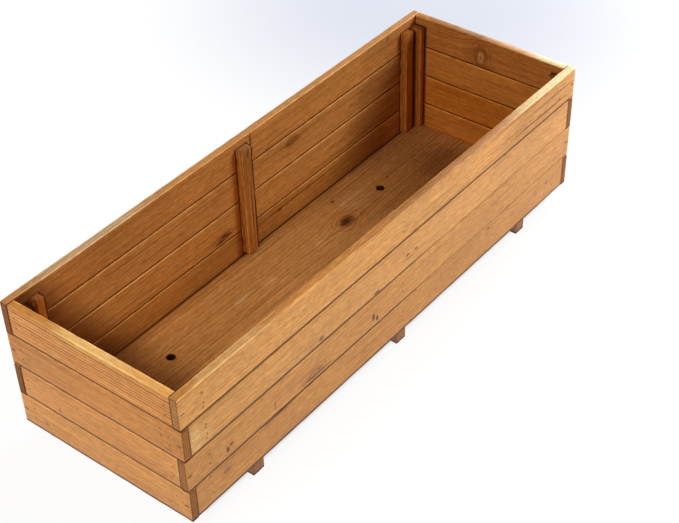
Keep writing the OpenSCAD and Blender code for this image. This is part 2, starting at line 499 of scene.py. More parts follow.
def round_arrises(bm, width):
    sharp = [e for e in bm.edges if e.calc_face_angle(0) > 1.0]
    points = list({v for e in sharp for v in e.verts})
    bmesh.ops.bevel(bm, geom=sharp + points, offset=width, offset_type="OFFSET", segments=3,
                    profile=0.5, affect="EDGES", clamp_overlap=True, material=-1)


def bumpy(place, waves, seed):
    return noise.noise(Vector((place[0] * waves[0] + seed, place[1] * waves[1], place[2] * waves[2])))


def wear(bm, box, seed, worn, bow):
    """Take a little off the arrises and ends, and bow the piece across its thickness."""
    half = (box[1] - box[0]) / 2
    long, wide, thick = order_of_axes(box)
    for vert in bm.verts:
        along, across = vert.co[long], vert.co[wide]
        if max(half[i] - abs(vert.co[i]) for i in (wide, thick)) < NEAR_ARRIS:
            rough = bumpy((along, across, vert.co[thick]), ROUGH_WAVES, seed)
            broad = bumpy((along, across, 0), BROAD_WAVES, seed + 40)
            loss = worn * max(0, 0.25 + rough + 0.8 * broad)
            vert.co[wide] -= math.copysign(loss, vert.co[wide])
            vert.co[thick] -= math.copysign(loss * THICK_LOSS, vert.co[thick])
        end = half[long] - abs(along)
        if end < NEAR_END:
            loss = worn * END_LOSS * max(0, bumpy(vert.co, END_WAVES, seed + 80))
            vert.co[long] -= math.copysign(loss, along)
        bend = bumpy((along, across, 0), BOW_WAVES, seed + 120)
        vert.co[thick] += bow * bend * min(1, end / STIFF_END)


print("a long board gets", round(1.0 / LOOP_STEP["long"]), "loops along its grain")

# %% [markdown]
# Holes are cut with a boolean. It could stay on the piece as a modifier, but it is applied at once, so
# that the finished mesh holds the holes and the cutter can go.

# %% Finished meshes and booleans
def link_mesh(name, bm):
    """A finished bmesh becomes an object at the origin that rides on the bed."""
    mesh = bpy.data.meshes.new(name)
    bm.normal_update()
    bm.to_mesh(mesh)
    bm.free()
    thing = bpy.data.objects.new(name, mesh)
    scene.collection.objects.link(thing)
    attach(thing, "root")
    return thing


def cut_away(thing, cutter_bm):
    """Cut a closed shape out of a piece, and keep the result as its mesh."""
    cutter_mesh = bpy.data.meshes.new("cutter")
    cutter_bm.to_mesh(cutter_mesh)
    cutter_bm.free()
    cutter = bpy.data.objects.new("cutter", cutter_mesh)
    scene.collection.objects.link(cutter)
    cut = thing.modifiers.new("holes", "BOOLEAN")
    cut.operation, cut.solver, cut.object = "DIFFERENCE", "EXACT", cutter
    bpy.context.view_layer.update()
    depsgraph = bpy.context.evaluated_depsgraph_get()
    result = bpy.data.meshes.new_from_object(thing.evaluated_get(depsgraph))
    thing.modifiers.clear()
    old = thing.data
    thing.data = result
    result.name = thing.name
    bpy.data.objects.remove(cutter)
    bpy.data.meshes.remove(cutter_mesh)
    bpy.data.meshes.remove(old)


# %% [markdown]
# One function makes every board, batten and foot out of those steps. Chips are cut like holes, by
# rough pebbles that bite into an arris, because worn wood breaks in uneven scoops.

# %% Sawn timber
SMOOTH_UP_TO = math.radians(38)
PEBBLE_ROUGH = 0.35


def timber(node_name, seed, arris=1.0 * MM, worn=0.4 * MM, bow=0.25 * MM, steps=LOOP_STEP,
           gap=0.0, cutters=()):
    """One piece of sawn timber in the place of a CAD node, with its nail holes and chips."""
    low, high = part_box(node_name)
    box = (Vector(low) + Vector((0, 0, gap)), Vector(high))
    bm = box_with_loops(box, steps)
    round_arrises(bm, arris)
    wear(bm, box, seed, worn, bow)
    bmesh.ops.translate(bm, vec=(box[0] + box[1]) / 2, verts=bm.verts)
    piece = link_mesh(node_name + "_timber", bm)
    cut_away(piece, cutters_for(box))
    for cutter in cutters:
        cut_away(piece, cutter)
    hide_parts(node_name)
    for face in piece.data.polygons:
        face.use_smooth = True
    piece.data.set_sharp_from_angle(angle=SMOOTH_UP_TO)
    return piece


def bite(place, size, seed):
    """A rough pebble that chips an arris where it is cut away."""
    bm = bmesh.new()
    pebble = bmesh.ops.create_icosphere(bm, subdivisions=3, radius=0.5)["verts"]
    for vert in pebble:
        vert.co *= 1 + PEBBLE_ROUGH * noise.noise(vert.co * 4 + Vector((seed, 0, 0)))
    bmesh.ops.scale(bm, vec=size, verts=pebble)
    bmesh.ops.translate(bm, vec=place, verts=pebble)
    return bm


print("faces that meet at under", round(math.degrees(SMOOTH_UP_TO)), "degrees are shaded smooth")

# %% [markdown]
# ## The wood itself
#
# The boards are stained softwood. A wood texture from pictures would repeat; here each board is cut
# out of its own tree. Growth rings are shells around a pith, so their lines come out straight on one
# board, in tall arches on the next, and as arcs on the sawn ends, and all from the same sum.
#
# Knots come first, because the rings flow around them. The group pulls the place at which the rings
# are read towards the knot, and adds the knot to the masks of those before it.

# %% Knot group
KNOT_RAGGED = 0.9
EYE_RINGS, EYE_REACH = 10.0, 3.6
PULL, PULL_LONG, PULL_WIDE = -0.82, 0.34, 0.5

knot_group, t, sockets_in, sockets_out = new_group(
    "Knot", {"Vector": "vector", "Place": "vector", "Size": "vector", "Depth": "float",
             "Mask So Far": "float", "Eye So Far": "float", "Bark So Far": "float"},
    {"Vector": "vector", "Mask": "float", "Eye": "float", "Bark": "float"})
from_knot = t.vector("SUBTRACT", sockets_in["Vector"], sockets_in["Place"])
flat = t.vector("MULTIPLY", t.vector("DIVIDE", from_knot, sockets_in["Size"]), (1, 0, 1))
ripple = t.noise(sockets_in["Vector"], (160, 160, 160), detail=2.0)
ripple = t.math("MULTIPLY_ADD", ripple, KNOT_RAGGED, -KNOT_RAGGED / 2)
distance = t.math("ADD", t.vector("LENGTH", flat), ripple)
core = t.math("MULTIPLY", t.step(distance, 1.12, 0.80), sockets_in["Depth"])
bark = t.math("MULTIPLY", t.step(distance, 1.26, 1.08), t.step(distance, 0.84, 1.0))
waves = t.math("MULTIPLY_ADD", t.math("SINE", t.math("MULTIPLY", distance, EYE_RINGS)), 0.5, 0.5)
eye = t.math("MULTIPLY", waves, t.step(distance, EYE_REACH, 1.0))
parts = t.split(flat)
spread = t.math("ADD", t.math("POWER", t.math("MULTIPLY", parts["X"], PULL_LONG), 2.0),
                t.math("POWER", t.math("MULTIPLY", parts["Z"], PULL_WIDE), 2.0))
pull = t.math("MULTIPLY", t.math("EXPONENT", t.math("MULTIPLY", spread, -1.0)), PULL)
bend = t.scale(t.vector("MULTIPLY", from_knot, (0, 0, 1)), pull)
t.feed(sockets_out["Vector"], t.vector("ADD", sockets_in["Vector"], bend))
for name, mask in (("Mask", core), ("Eye", eye), ("Bark", bark)):
    t.feed(sockets_out[name], t.math("MAXIMUM", mask, sockets_in[name + " So Far"]))
print("knot group has", len(knot_group.nodes), "nodes")

# %% [markdown]
# Small dark marks are the rest of what the eye finds on a board: a bruise, a pitch streak, a tear along the
# grain. Each is an ellipse with a ragged edge. Broad ones also serve as painted shadow. The same group also
# makes pale scuffs, and painted highlights on some rims.

# %% Mark group
MARK_RAGGED = 1.1

mark_group, t, sockets_in, sockets_out = new_group(
    "Mark", {"Vector": "vector", "Place": "vector", "Size": "vector", "Strength": "float",
             "Mask So Far": "float"},
    {"Mask": "float"})
away = t.vector("DIVIDE", t.vector("SUBTRACT", sockets_in["Vector"], sockets_in["Place"]), sockets_in["Size"])
ragged = t.noise(sockets_in["Vector"], (70, 330, 330), detail=3.0)
ragged = t.math("MULTIPLY_ADD", ragged, MARK_RAGGED, -MARK_RAGGED / 2)
distance = t.math("ADD", t.vector("LENGTH", t.vector("MULTIPLY", away, (1, 0, 1))), ragged)
mark = t.math("MULTIPLY", t.step(distance, 1.1, 0.45), sockets_in["Strength"])
t.feed(sockets_out["Mask"], t.math("MAXIMUM", mark, sockets_in["Mask So Far"]))
print("mark group has", len(mark_group.nodes), "nodes")

# %% [markdown]
# Handling rubs the stain off the arrises and leaves dirt in the hollows beside them. The pale arris is also a
# painted highlight, stronger on the upper arris, which faces the light from above. The group reads how far a
# point is from the nearest faces of its board, so it works on a board of any size. It puts out masks for the
# worn and highlit arris, the dirty joint below, the top face, the butted ends and the outline of a sawn end.

# %% Arris group
# The lower arris gets only this share of the pale; the upper one is paler, a painted highlight from above as
# well as wear.
LOWER_ARRIS_SHARE = 0.15
JOINT_UNEVEN, JOINT_BLUR = 1.1 * MM, 0.4 * MM
BUTT_UNEVEN, BUTT_REACH, BUTT_DARK = 1.6 * MM, 1.2 * MM, 0.8 * MM
OUTLINE_REACH, OUTLINE_DARK = 2.4 * MM, 1.0 * MM

arris_group, t, sockets_in, sockets_out = new_group(
    "Arris", {"Vector": "vector", "Half Size": "vector", "Width": "float", "Joint": "float"},
    {"Worn": "float", "Dirt": "float", "Top": "float", "Butt": "float", "Outline": "float"})
room = t.split(t.vector("SUBTRACT", sockets_in["Half Size"], t.vector("ABSOLUTE", sockets_in["Vector"])))
upper = t.step(t.split(sockets_in["Vector"])["Z"], -2 * MM, 2 * MM)
uneven = t.noise(sockets_in["Vector"], (38, 160, 160), detail=3.0)
reach = t.math("MULTIPLY", sockets_in["Width"], t.math("MULTIPLY_ADD", uneven, 2.0, -0.2))
# The pale arris: worn stain, and a painted highlight.
worn = t.step(t.math("MAXIMUM", room["Y"], room["Z"]), reach, t.math("MULTIPLY", reach, 0.6))
share = t.math("MULTIPLY_ADD", upper, 1.0 - LOWER_ARRIS_SHARE, LOWER_ARRIS_SHARE)
t.feed(sockets_out["Worn"], t.math("MULTIPLY", worn, share))
dirt_end = t.math("MULTIPLY_ADD", uneven, JOINT_UNEVEN, t.math("ADD", sockets_in["Joint"], JOINT_BLUR))
below = t.step(room["Z"], dirt_end, sockets_in["Joint"])
t.feed(sockets_out["Dirt"], t.math("MULTIPLY", below, t.math("SUBTRACT", 1.0, upper)))
t.feed(sockets_out["Top"], t.math("MULTIPLY", t.step(room["Z"], 0.8 * MM, 0.3 * MM), upper))
butt_end = t.math("MULTIPLY_ADD", uneven, BUTT_UNEVEN, BUTT_REACH)
t.feed(sockets_out["Butt"], t.step(room["X"], butt_end, BUTT_DARK))
rim = t.math("MINIMUM", room["Y"], room["Z"])
t.feed(sockets_out["Outline"], t.step(rim, OUTLINE_REACH, OUTLINE_DARK))
print("arris group has", len(arris_group.nodes), "nodes")

# %% [markdown]
# Now the wood. A tree adds one ring a year: pale early wood, then a thin dark line. The distance from
# the pith, over the ring width, counts the years. A little taper and a slow noise keep the lines from
# running dead straight, and each year draws its own strength.

# %% Softwood group, growth rings
TAPER, WANDER = 0.006, 0.014
WEAKEST_YEAR = 0.25
RUBBED_RINGS = 0.8

softwood_group, t, sockets_in, sockets_out = new_group(
    "Stained softwood",
    {"Vector": "vector", "Flat Vector": "vector", "Pith": "vector", "Ring Width": "float",
     "Ring Strength": "float", "Figure": "float", "Blotches": "float", "Seed": "float", "Tone": "colour",
     "Knot": "float", "Dark Mark": "float", "Pale Mark": "float", "Worn": "float", "Dirt": "float",
     "End Grain": "float", "End Tone": "colour", "Rubbed": "float", "Top Tone": "colour",
     "Eye": "float", "Bark": "float"},
    {"Color": "colour", "Roughness": "float", "Height": "float"})
seed_shift = t.join(sockets_in["Seed"], 0.0, sockets_in["Seed"])
place = t.vector("ADD", sockets_in["Vector"], seed_shift)
flat_place = t.vector("ADD", sockets_in["Flat Vector"], seed_shift)
from_pith = t.vector("MULTIPLY", t.vector("SUBTRACT", sockets_in["Vector"], sockets_in["Pith"]), (0, 1, 1))
taper = t.math("MULTIPLY", t.split(sockets_in["Vector"])["X"], TAPER)
wander = t.math("MULTIPLY_ADD", t.noise(place, (2.2, 16, 16), detail=2.0), WANDER, -WANDER / 2)
radius = t.math("ADD", t.math("ADD", t.vector("LENGTH", from_pith), taper), wander)
ring = t.math("DIVIDE", radius, sockets_in["Ring Width"])
year = t.add("TexWhiteNoise", noise_dimensions="1D")
t.feed(year.inputs["W"], t.math("ADD", t.math("FLOOR", ring), sockets_in["Seed"]))
year_strength = t.math("MULTIPLY_ADD", year.outputs["Value"], 1.0 - WEAKEST_YEAR, WEAKEST_YEAR)
growth = t.math("FRACT", ring)
late_wood = t.math("MULTIPLY", t.step(growth, 0.30, 0.90), t.step(growth, 1.0, 0.93))
lines = t.math("MULTIPLY", t.math("MULTIPLY", late_wood, year_strength), sockets_in["Ring Strength"])
lines = t.math("MULTIPLY", lines, t.math("MULTIPLY_ADD", sockets_in["Rubbed"], -RUBBED_RINGS, 1.0))
print("growth rings take", len(softwood_group.nodes), "nodes")

# %% [markdown]
# Stain soaks into sawn fibre unevenly, and that is most of what a board shows from a step away. Each
# noise here is stretched along the grain: short fibres, streaks and long threads, small mottles and
# broad blotches. Mixed together, they move the stain between a darker and a paler tone of its own.

# %% Softwood group, fibre and stain
DARK_FIBRE, PALE_FIBRE = (0.66, 0.54, 0.40, 1), (1.34, 1.44, 1.62, 1)
DARK_THREAD, PALE_THREAD, THREAD = (0.66, 0.50, 0.36, 1), (1.22, 1.28, 1.36, 1), 0.45
LATE_WOOD = (0.62, 0.42, 0.24, 1)
SPECK = (0.16, 0.065, 0.022, 1)

fibre = t.noise(flat_place, (75, 400, 400), detail=4.0, roughness=0.75)
streak = t.noise(place, (5.0, 85, 85), detail=4.0, roughness=0.6)
mottle = t.noise(flat_place, (26, 70, 70), detail=4.0, roughness=0.65)
blotch = t.noise(flat_place, (5.5, 13, 13), detail=3.0, roughness=0.55)
thread = t.noise(place, (6, 300, 300), detail=2.0, roughness=0.4)
speck = t.step(t.noise(flat_place, (110, 420, 420), detail=2.0), 0.66, 0.76, 0.0, 0.35)
mixed = t.math("MULTIPLY_ADD", mottle, 0.06, t.math("MULTIPLY", streak, 0.14))
mixed = t.math("MULTIPLY_ADD", fibre, 0.80, mixed)
pale_part = t.math("SUBTRACT", t.step(mixed, 0.30, 0.70), 0.5)
pale_part = t.math("MULTIPLY_ADD", pale_part, sockets_in["Figure"], 0.5)
dark_stain = t.tint(1.0, sockets_in["Tone"], DARK_FIBRE)
pale_stain = t.tint(1.0, sockets_in["Tone"], PALE_FIBRE)
stain = t.mix(pale_part, dark_stain, pale_stain)
light = t.math("MULTIPLY_ADD", t.math("SUBTRACT", blotch, 0.5), sockets_in["Blotches"], 1.0)
wood = t.tint(lines, t.scale(stain, light), LATE_WOOD)
wood = t.tint(t.step(thread, 0.55, 0.68, 0.0, THREAD), wood, DARK_THREAD)
wood = t.tint(t.step(thread, 0.45, 0.34, 0.0, THREAD), wood, PALE_THREAD)
wood = t.mix(speck, wood, SPECK)
print("with fibre and stain it has", len(softwood_group.nodes), "nodes")

# %% [markdown]
# Over the stain lie the rubbed arrises with their painted highlight, the sawn ends, the knots, the dirt and
# painted shade, the bruises and painted shadows, and the scuffs and painted highlights. Most of them multiply
# what is under them, so that the grain still shows through. The core of a knot is mixed in instead, because
# its wood has another colour.

# %% Softwood group, ends, knots and marks
WORN_AND_HIGHLIGHT = (1.55, 1.7, 1.95, 1)
END_PALE, END_DARK = (0.74, 0.68, 0.66, 1), (0.36, 0.30, 0.27, 1)
KNOT_EYE, KNOT_CORE, KNOT_BARK = (0.50, 0.34, 0.22, 1), (0.22, 0.090, 0.034, 1), (0.30, 0.17, 0.10, 1)
# Dirt and painted shade share one tone, bruises and painted shadows another, scuffs and painted highlights a
# third.
DIRT_AND_SHADE, BRUISE_AND_SHADOW, SCUFF_AND_HIGHLIGHT = (0.15, 0.06, 0.02, 1), (0.22, 0.10, 0.04, 1), (1.40, 2.30, 4.1, 1)
WORN_AND_HIGHLIGHT_SHARE, DIRT_AND_SHADE_SHARE, EYE_SHARE, CORE_SHARE, BARK_SHARE = 0.9, 0.92, 0.6, 0.4675, 0.55

end_rings = t.mix(t.math("MULTIPLY", late_wood, 0.6), END_PALE, END_DARK)
end_rings = t.tint(1.0, end_rings, sockets_in["End Tone"])
# The top tone is worn stain, and on some rims partly a painted highlight.
wood = t.tint(sockets_in["Rubbed"], wood, sockets_in["Top Tone"])
# Worn arrises are paler, partly as a painted highlight.
wood = t.tint(t.math("MULTIPLY", sockets_in["Worn"], WORN_AND_HIGHLIGHT_SHARE), wood, WORN_AND_HIGHLIGHT)
wood = t.tint(sockets_in["End Grain"], wood, end_rings)
wood = t.tint(t.math("MULTIPLY", sockets_in["Eye"], EYE_SHARE), wood, KNOT_EYE)
wood = t.mix(t.math("MULTIPLY", sockets_in["Knot"], CORE_SHARE), wood, KNOT_CORE)
wood = t.tint(t.math("MULTIPLY", sockets_in["Bark"], BARK_SHARE), wood, KNOT_BARK)
wood = t.tint(t.math("MULTIPLY", sockets_in["Dirt"], DIRT_AND_SHADE_SHARE), wood, DIRT_AND_SHADE)
wood = t.tint(sockets_in["Dark Mark"], wood, BRUISE_AND_SHADOW)
wood = t.tint(sockets_in["Pale Mark"], wood, SCUFF_AND_HIGHLIGHT)
t.feed(sockets_out["Color"], wood)
print("with ends, knots and marks it has", len(softwood_group.nodes), "nodes")

# %% [markdown]
# The gloss and the height come from the same noises, so a pale streak is also a little duller and a
# dark ring is also a slight ridge. Rubbed wood shines more and is flatter, and sawn ends are dull.

# %% Softwood group, gloss and height
gloss = t.math("MULTIPLY_ADD", streak, 0.16, 0.40)
gloss = t.math("MULTIPLY_ADD", sockets_in["End Grain"], 0.25, gloss)
gloss = t.math("MULTIPLY_ADD", sockets_in["Rubbed"], -0.10, gloss)
t.feed(sockets_out["Roughness"], t.math("MULTIPLY_ADD", sockets_in["Worn"], -0.05, gloss, clamp=True))
height = t.math("MULTIPLY_ADD", fibre, 0.45, t.math("MULTIPLY", streak, 0.35))
height = t.math("MULTIPLY", height, t.math("MULTIPLY_ADD", sockets_in["Rubbed"], -0.6, 1.0))
height = t.math("MULTIPLY_ADD", lines, 0.35, height)
height = t.math("MULTIPLY_ADD", sockets_in["Dark Mark"], -0.6, height)
t.feed(sockets_out["Height"], t.math("MULTIPLY_ADD", sockets_in["Knot"], 0.25, height))
print("softwood group has", len(softwood_group.nodes), "nodes in all")

# %% [markdown]
# ## A material for each piece
#
# Each piece gets a material of its own, made by one function. It turns the Object coordinates so that
# local X runs along the grain, Y through the thickness and Z across the width. The place then passes
# through the knots, which bend the rings around them, and the masks of the marks are gathered.

# %% Grain directions, knots and marks
GRAIN = {
    "along the bed": ((0, 0, 0), (1, 0, 0)),
    "across the bed": ((0, 0, math.radians(90)), (0, 1, 0)),
    "upright": ((0, math.radians(-90), 0), (0, 0, 1)),
    "floor": ((math.radians(90), 0, 0), (1, 0, 0)),
}


def along_grain(t, middle, turn):
    """Object coordinates from the middle of a piece, turned to its grain."""
    mapping = t.add("Mapping", vector_type="TEXTURE")
    t.feed(mapping.inputs["Vector"], t.add("TexCoord").outputs["Object"])
    mapping.inputs["Location"].default_value = middle
    mapping.inputs["Rotation"].default_value = turn
    return mapping.outputs["Vector"]


def through_knots(t, place, knots):
    """The place bent by each knot, and the masks of all the knots."""
    masks = {"Mask": 0.0, "Eye": 0.0, "Bark": 0.0}
    for along, across, half_long, half_wide, depth in knots:
        masks = place_group(t, knot_group, Vector=place, Place=(along * MM, 0, across * MM), Depth=depth,
                            Size=(half_long * MM, 1, half_wide * MM), Mask_So_Far=masks["Mask"],
                            Eye_So_Far=masks["Eye"], Bark_So_Far=masks["Bark"])
        place = masks["Vector"]
    return place, masks


def marks_mask(t, place, marks):
    """One mask for all the marks. Each has a place and half sizes in mm, and an amount."""
    mask = 0.0
    for along, across, half_long, half_wide, amount in marks:
        marked = place_group(t, mark_group, Vector=place, Place=(along * MM, 0, across * MM),
                             Size=(half_long * MM, 1, half_wide * MM), Strength=amount, Mask_So_Far=mask)
        mask = marked["Mask"]
    return mask


print("grain directions:", ", ".join(GRAIN))

# %% [markdown]
# Dirt gathers where two pieces meet. Boards show a dark line along the joint below them, which fades where
# the joint is tight, and boards that butt against others are dark at their ends. The same darkening also
# carries painted shade: beside each batten, and a painted shadow over the left end of the inside, up to a
# slanted line. A lamp could be kept out of that corner, but then the rest of the inside would be dark too.

# %% Dirt in the joints, and painted shade
TIGHT_FADE, TIGHT_DIRT = 120 * MM, 0.3
END_OUTLINE = 0.55
SKIN_TOP, SKIN_DEEP = 0.5 * MM, 1.3 * MM
SEAM_DARK, SEAM_REACH, SEAM_SHADE = 1.5 * MM, 4.0 * MM, 0.8
SHADOW_SLANT, SHADOW_EDGE = (1, 0, 0.68), (-0.222, -0.314)


def widest(t, *masks):
    """The largest of some masks at each place."""
    most, *others = masks
    for mask in others:
        most = t.math("MAXIMUM", most, mask)
    return most


def on_face(t, across, half, side):
    """1 on the face of a board that lies towards side, and 0 inside the wood."""
    return t.step(t.math("MULTIPLY", across, side), half - SKIN_DEEP, half - SKIN_TOP)


def tight_joint(t, joint, along, tight):
    """The dirt of a joint, fading along the board from tight mm onwards."""
    fade = t.step(along, tight * MM, tight * MM + TIGHT_FADE, 1.0, TIGHT_DIRT)
    return t.math("MULTIPLY", joint, fade)


def batten_shade_mask(t, parts, centre, half, top):
    """Painted shade on both sides of a batten, up to its top."""
    off = t.math("ABSOLUTE", t.math("SUBTRACT", parts["X"], centre))
    seam = t.step(off, half + SEAM_REACH, half + SEAM_DARK, 0.0, SEAM_SHADE)
    return t.math("MULTIPLY", seam, t.step(parts["Z"], top + 2 * MM, top - MM))


# A painted shadow over the left end of the inside, up to a slanted line.
def painted_shadow_mask(t, amount):
    slant = t.vector("DOT_PRODUCT", t.add("TexCoord").outputs["Object"], SHADOW_SLANT)
    return t.step(slant, *SHADOW_EDGE, 0.0, amount)


print("damp ends", -SHADOW_EDGE[0], "m left of the middle at the ground")

# %% [markdown]
# The function below puts it all together. Its defaults are a plain board, and each piece of the bed
# names only what is different about it. The shader itself stays in the material: one Principled BSDF
# for sawn wood, with a low specular level, because stain soaks in and leaves no film.

# %% Material for one piece of timber
WORN_WIDTH = 2.3 * MM
BUMP_DEPTH = 0.7 * MM
END_FACING, BORE_FACING = (0.72, 0.92), (0.85, 0.5)


def shaded(tone, shade):
    return [part * factor for part, factor in zip(colour(tone), (*shade, 1))]


def stained_wood(piece, node_name, grain, tone, seed, shade=(1, 1, 1), outer_painted_shade=None, top=None, ends=(1, 1, 1),
                 pith=(60, 10), ring=3.0, strength=0.5, figure=0.62, blotches=0.5, knots=(), dark=(), pale=(),
                 joint=3.6, tight=None, butts=False, bore_shade=False, seams=(), inner=1, painted_shadow=0.0,
                 bump=0.5, shine=0.25):
    """Stained softwood for one piece. Places and sizes are in mm along and across the grain.

    shade, top and ends tint the tone, the rubbed top and the sawn ends, and the outer tint gives the outer
    face a painted shade of its own. pith is where the heart of the tree lay, through the thickness and
    across. joint is the width of the dirt below, and inner is the side of local Y that faces the soil, or 0
    for every side.
    """
    low, high = (Vector(corner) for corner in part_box(node_name))
    turn, grain_axis = GRAIN[grain]
    half = [abs(v) for v in Euler(turn).to_matrix().transposed() @ ((high - low) / 2)]
    material, t = new_material(piece.name + "_wood")
    normal = t.add("TexCoord").outputs["Normal"]
    flat = along_grain(t, (low + high) / 2, turn)
    parts = t.split(flat)
    place, knot = through_knots(t, flat, knots)
    edge = place_group(t, arris_group, Vector=flat, Half_Size=half, Width=WORN_WIDTH, Joint=joint * MM)
    end_grain = t.step(t.math("ABSOLUTE", t.vector("DOT_PRODUCT", normal, grain_axis)), *END_FACING)
    inside = on_face(t, parts["Y"], half[1], inner) if inner else 1.0

    dirt_and_shade = edge["Dirt"] if tight is None else tight_joint(t, edge["Dirt"], parts["X"], tight)
    dirt_and_shade = widest(t, dirt_and_shade, t.math("MULTIPLY", t.math("MULTIPLY", end_grain, END_OUTLINE), edge["Outline"]))
    if butts:
        dirt_and_shade = widest(t, dirt_and_shade, edge["Butt"])
    # Painted shade on the upright faces, the walls of the drain holes.
    if bore_shade:
        dirt_and_shade = widest(t, dirt_and_shade, t.step(t.math("ABSOLUTE", t.split(normal)["Z"]), *BORE_FACING))
    # Painted shade on either side of a batten, on the inner face.
    if seams:
        lines = widest(t, *(batten_shade_mask(t, parts, *seam) for seam in seams))
        dirt_and_shade = widest(t, dirt_and_shade, t.math("MULTIPLY", lines, inside))
    # A painted shadow over the left end of the inside.
    if painted_shadow:
        dirt_and_shade = widest(t, dirt_and_shade, t.math("MULTIPLY", painted_shadow_mask(t, painted_shadow), inside))

    ground = shaded(tone, shade)
    # The outer face gets a painted shade of its own.
    if outer_painted_shade:
        ground = t.mix(on_face(t, parts["Y"], half[1], -inner), ground, shaded(tone, outer_painted_shade))
    wood = place_group(t, softwood_group, Vector=place, Flat_Vector=flat, Tone=ground, Seed=float(seed),
                       Pith=(0, pith[0] * MM, pith[1] * MM), Ring_Width=ring * MM, Ring_Strength=strength,
                       Figure=figure, Blotches=blotches, Knot=knot["Mask"], Eye=knot["Eye"],
                       Bark=knot["Bark"], Dark_Mark=marks_mask(t, flat, dark),
                       Pale_Mark=marks_mask(t, flat, pale), Worn=edge["Worn"], Dirt=dirt_and_shade,
                       End_Grain=end_grain, End_Tone=(*ends, 1), Rubbed=edge["Top"] if top else 0.0,
                       Top_Tone=(*(top or (1, 1, 1)), 1))
    relief = t.add("Bump")
    relief.inputs["Strength"].default_value = bump
    relief.inputs["Distance"].default_value = BUMP_DEPTH
    t.feed(relief.inputs["Height"], wood["Height"])
    surface = t.add("BsdfPrincipled")
    surface.inputs["Specular IOR Level"].default_value = shine
    t.feed(surface.inputs["Base Color"], wood["Color"])
    t.feed(surface.inputs["Roughness"], wood["Roughness"])
    t.feed(surface.inputs["Normal"], relief.outputs["Normal"])
    t.feed(t.add("OutputMaterial").inputs["Surface"], surface.outputs["BSDF"])
    piece.data.materials.clear()
    piece.data.materials.append(material)


print("worn arrises are", WORN_WIDTH / MM, "mm wide")

# %% [markdown]
# ## The walls
#
# Four boards for each wall, each with marks of its own. One material could serve them all, but then
# the same knot would show sixteen times. The front boards have faint, fine grain and a few bruises.
# The second has a long torn line along its bottom, and the rim has drying lines and a painted highlight near
# its right end.
#
# A knot or a mark is (along, across, half length, half width, amount), from the board's middle.

# %% Front boards
HONEY = "D6964B"
FRONT_WALL = dict(grain="along the bed", tone=HONEY, joint=4.7, inner=1)
FRONT_BOARDS = {
    "front_board_1": dict(
        FRONT_WALL, shade=(0.9, 0.87, 0.8), pith=(55, 20), ring=3.4, strength=0.30,
        knots=[(-423, 10, 5, 4, 0.7)],
        dark=[(247, 22, 5, 3, 0.8), (433, 7, 4, 3, 0.8), (-300, -20, 20, 2, 0.3),
              (-305, 28.5, 48, 2.4, 0.6), (-456, 26, 3, 3, 0.6)]),
    "front_board_2": dict(
        FRONT_WALL, shade=(0.96, 0.94, 0.85), ends=(1.0, 0.95, 1.1), pith=(80, -45), ring=3.8,
        strength=0.42, tight=-30, knots=[(-222, -14, 14, 6, 0.5)],
        dark=[(-262, -27.5, 92, 3.4, 0.95), (-215, -19, 40, 2.0, 0.75), (-75, -8, 4.5, 9, 1.0),
              (-66, -15, 3.5, 6, 1.0), (-312, -10, 2.5, 12, 0.45), (-416, -12, 4.5, 7, 0.9),
              (-408, -7, 6, 3, 0.9)]),
    "front_board_3": dict(
        FRONT_WALL, shade=(1.07, 1.08, 1.07), pith=(70, 35), ring=4.2, strength=0.22, tight=0,
        dark=[(-202, -18, 7, 5, 0.8), (-67, -23, 8, 3, 0.85), (14, -2, 6, 3, 0.8), (36, -3, 5, 3.5, 0.75),
              (20, -10, 15, 1.8, 0.7), (300, -24, 60, 1.5, 0.3), (-454, 4, 2.5, 2.5, 0.6),
              (-454, -17, 3, 2.5, 0.6)],
        pale=[(-474, -4, 13, 32, 0.33), (-456, -8, 20, 16, 0.14)]),
    "front_board_4": dict(
        FRONT_WALL, shade=(1.17, 1.23, 1.42), top=(0.96, 0.87, 0.82), ends=(0.92, 0.98, 1.12),
        pith=(65, -50), ring=4.0, strength=0.34, shine=0.13,
        dark=[(110, 29.75, 320, 3, 0.34), (390, -4, 150, 38, 0.23), (390, -11, 110, 2.2, 0.85),
              (420, 8, 90, 1.8, 0.8), (330, 24, 130, 2.2, 0.6), (300, -3, 100, 1.4, 0.5),
              (250, -18, 120, 1.2, 0.35), (-150, 12, 150, 1.4, 0.25), (-455, 10, 3, 3, 0.5),
              (-454, -17, 3, 3, 0.5)],
        # The second pale mark is a painted highlight on the top of the rim.
        pale=[(-390, 30, 90, 2.2, 0.3), (435, 30, 150, 3.0, 1.0)]),
}
mark_count = sum(len(values["dark"]) for values in FRONT_BOARDS.values())
print(len(FRONT_BOARDS), "front boards with", mark_count, "dark marks")

# %% [markdown]
# The back boards show their inner faces. They have a painted shadow at the left end, two of them have a knot,
# and all four have a painted shadow near the right end.

# %% Back boards
# The left end of the back wall gets a painted shadow.
BACK_WALL = dict(grain="along the bed", tone=HONEY, joint=3.4, inner=-1, painted_shadow=0.92, shine=0.14)
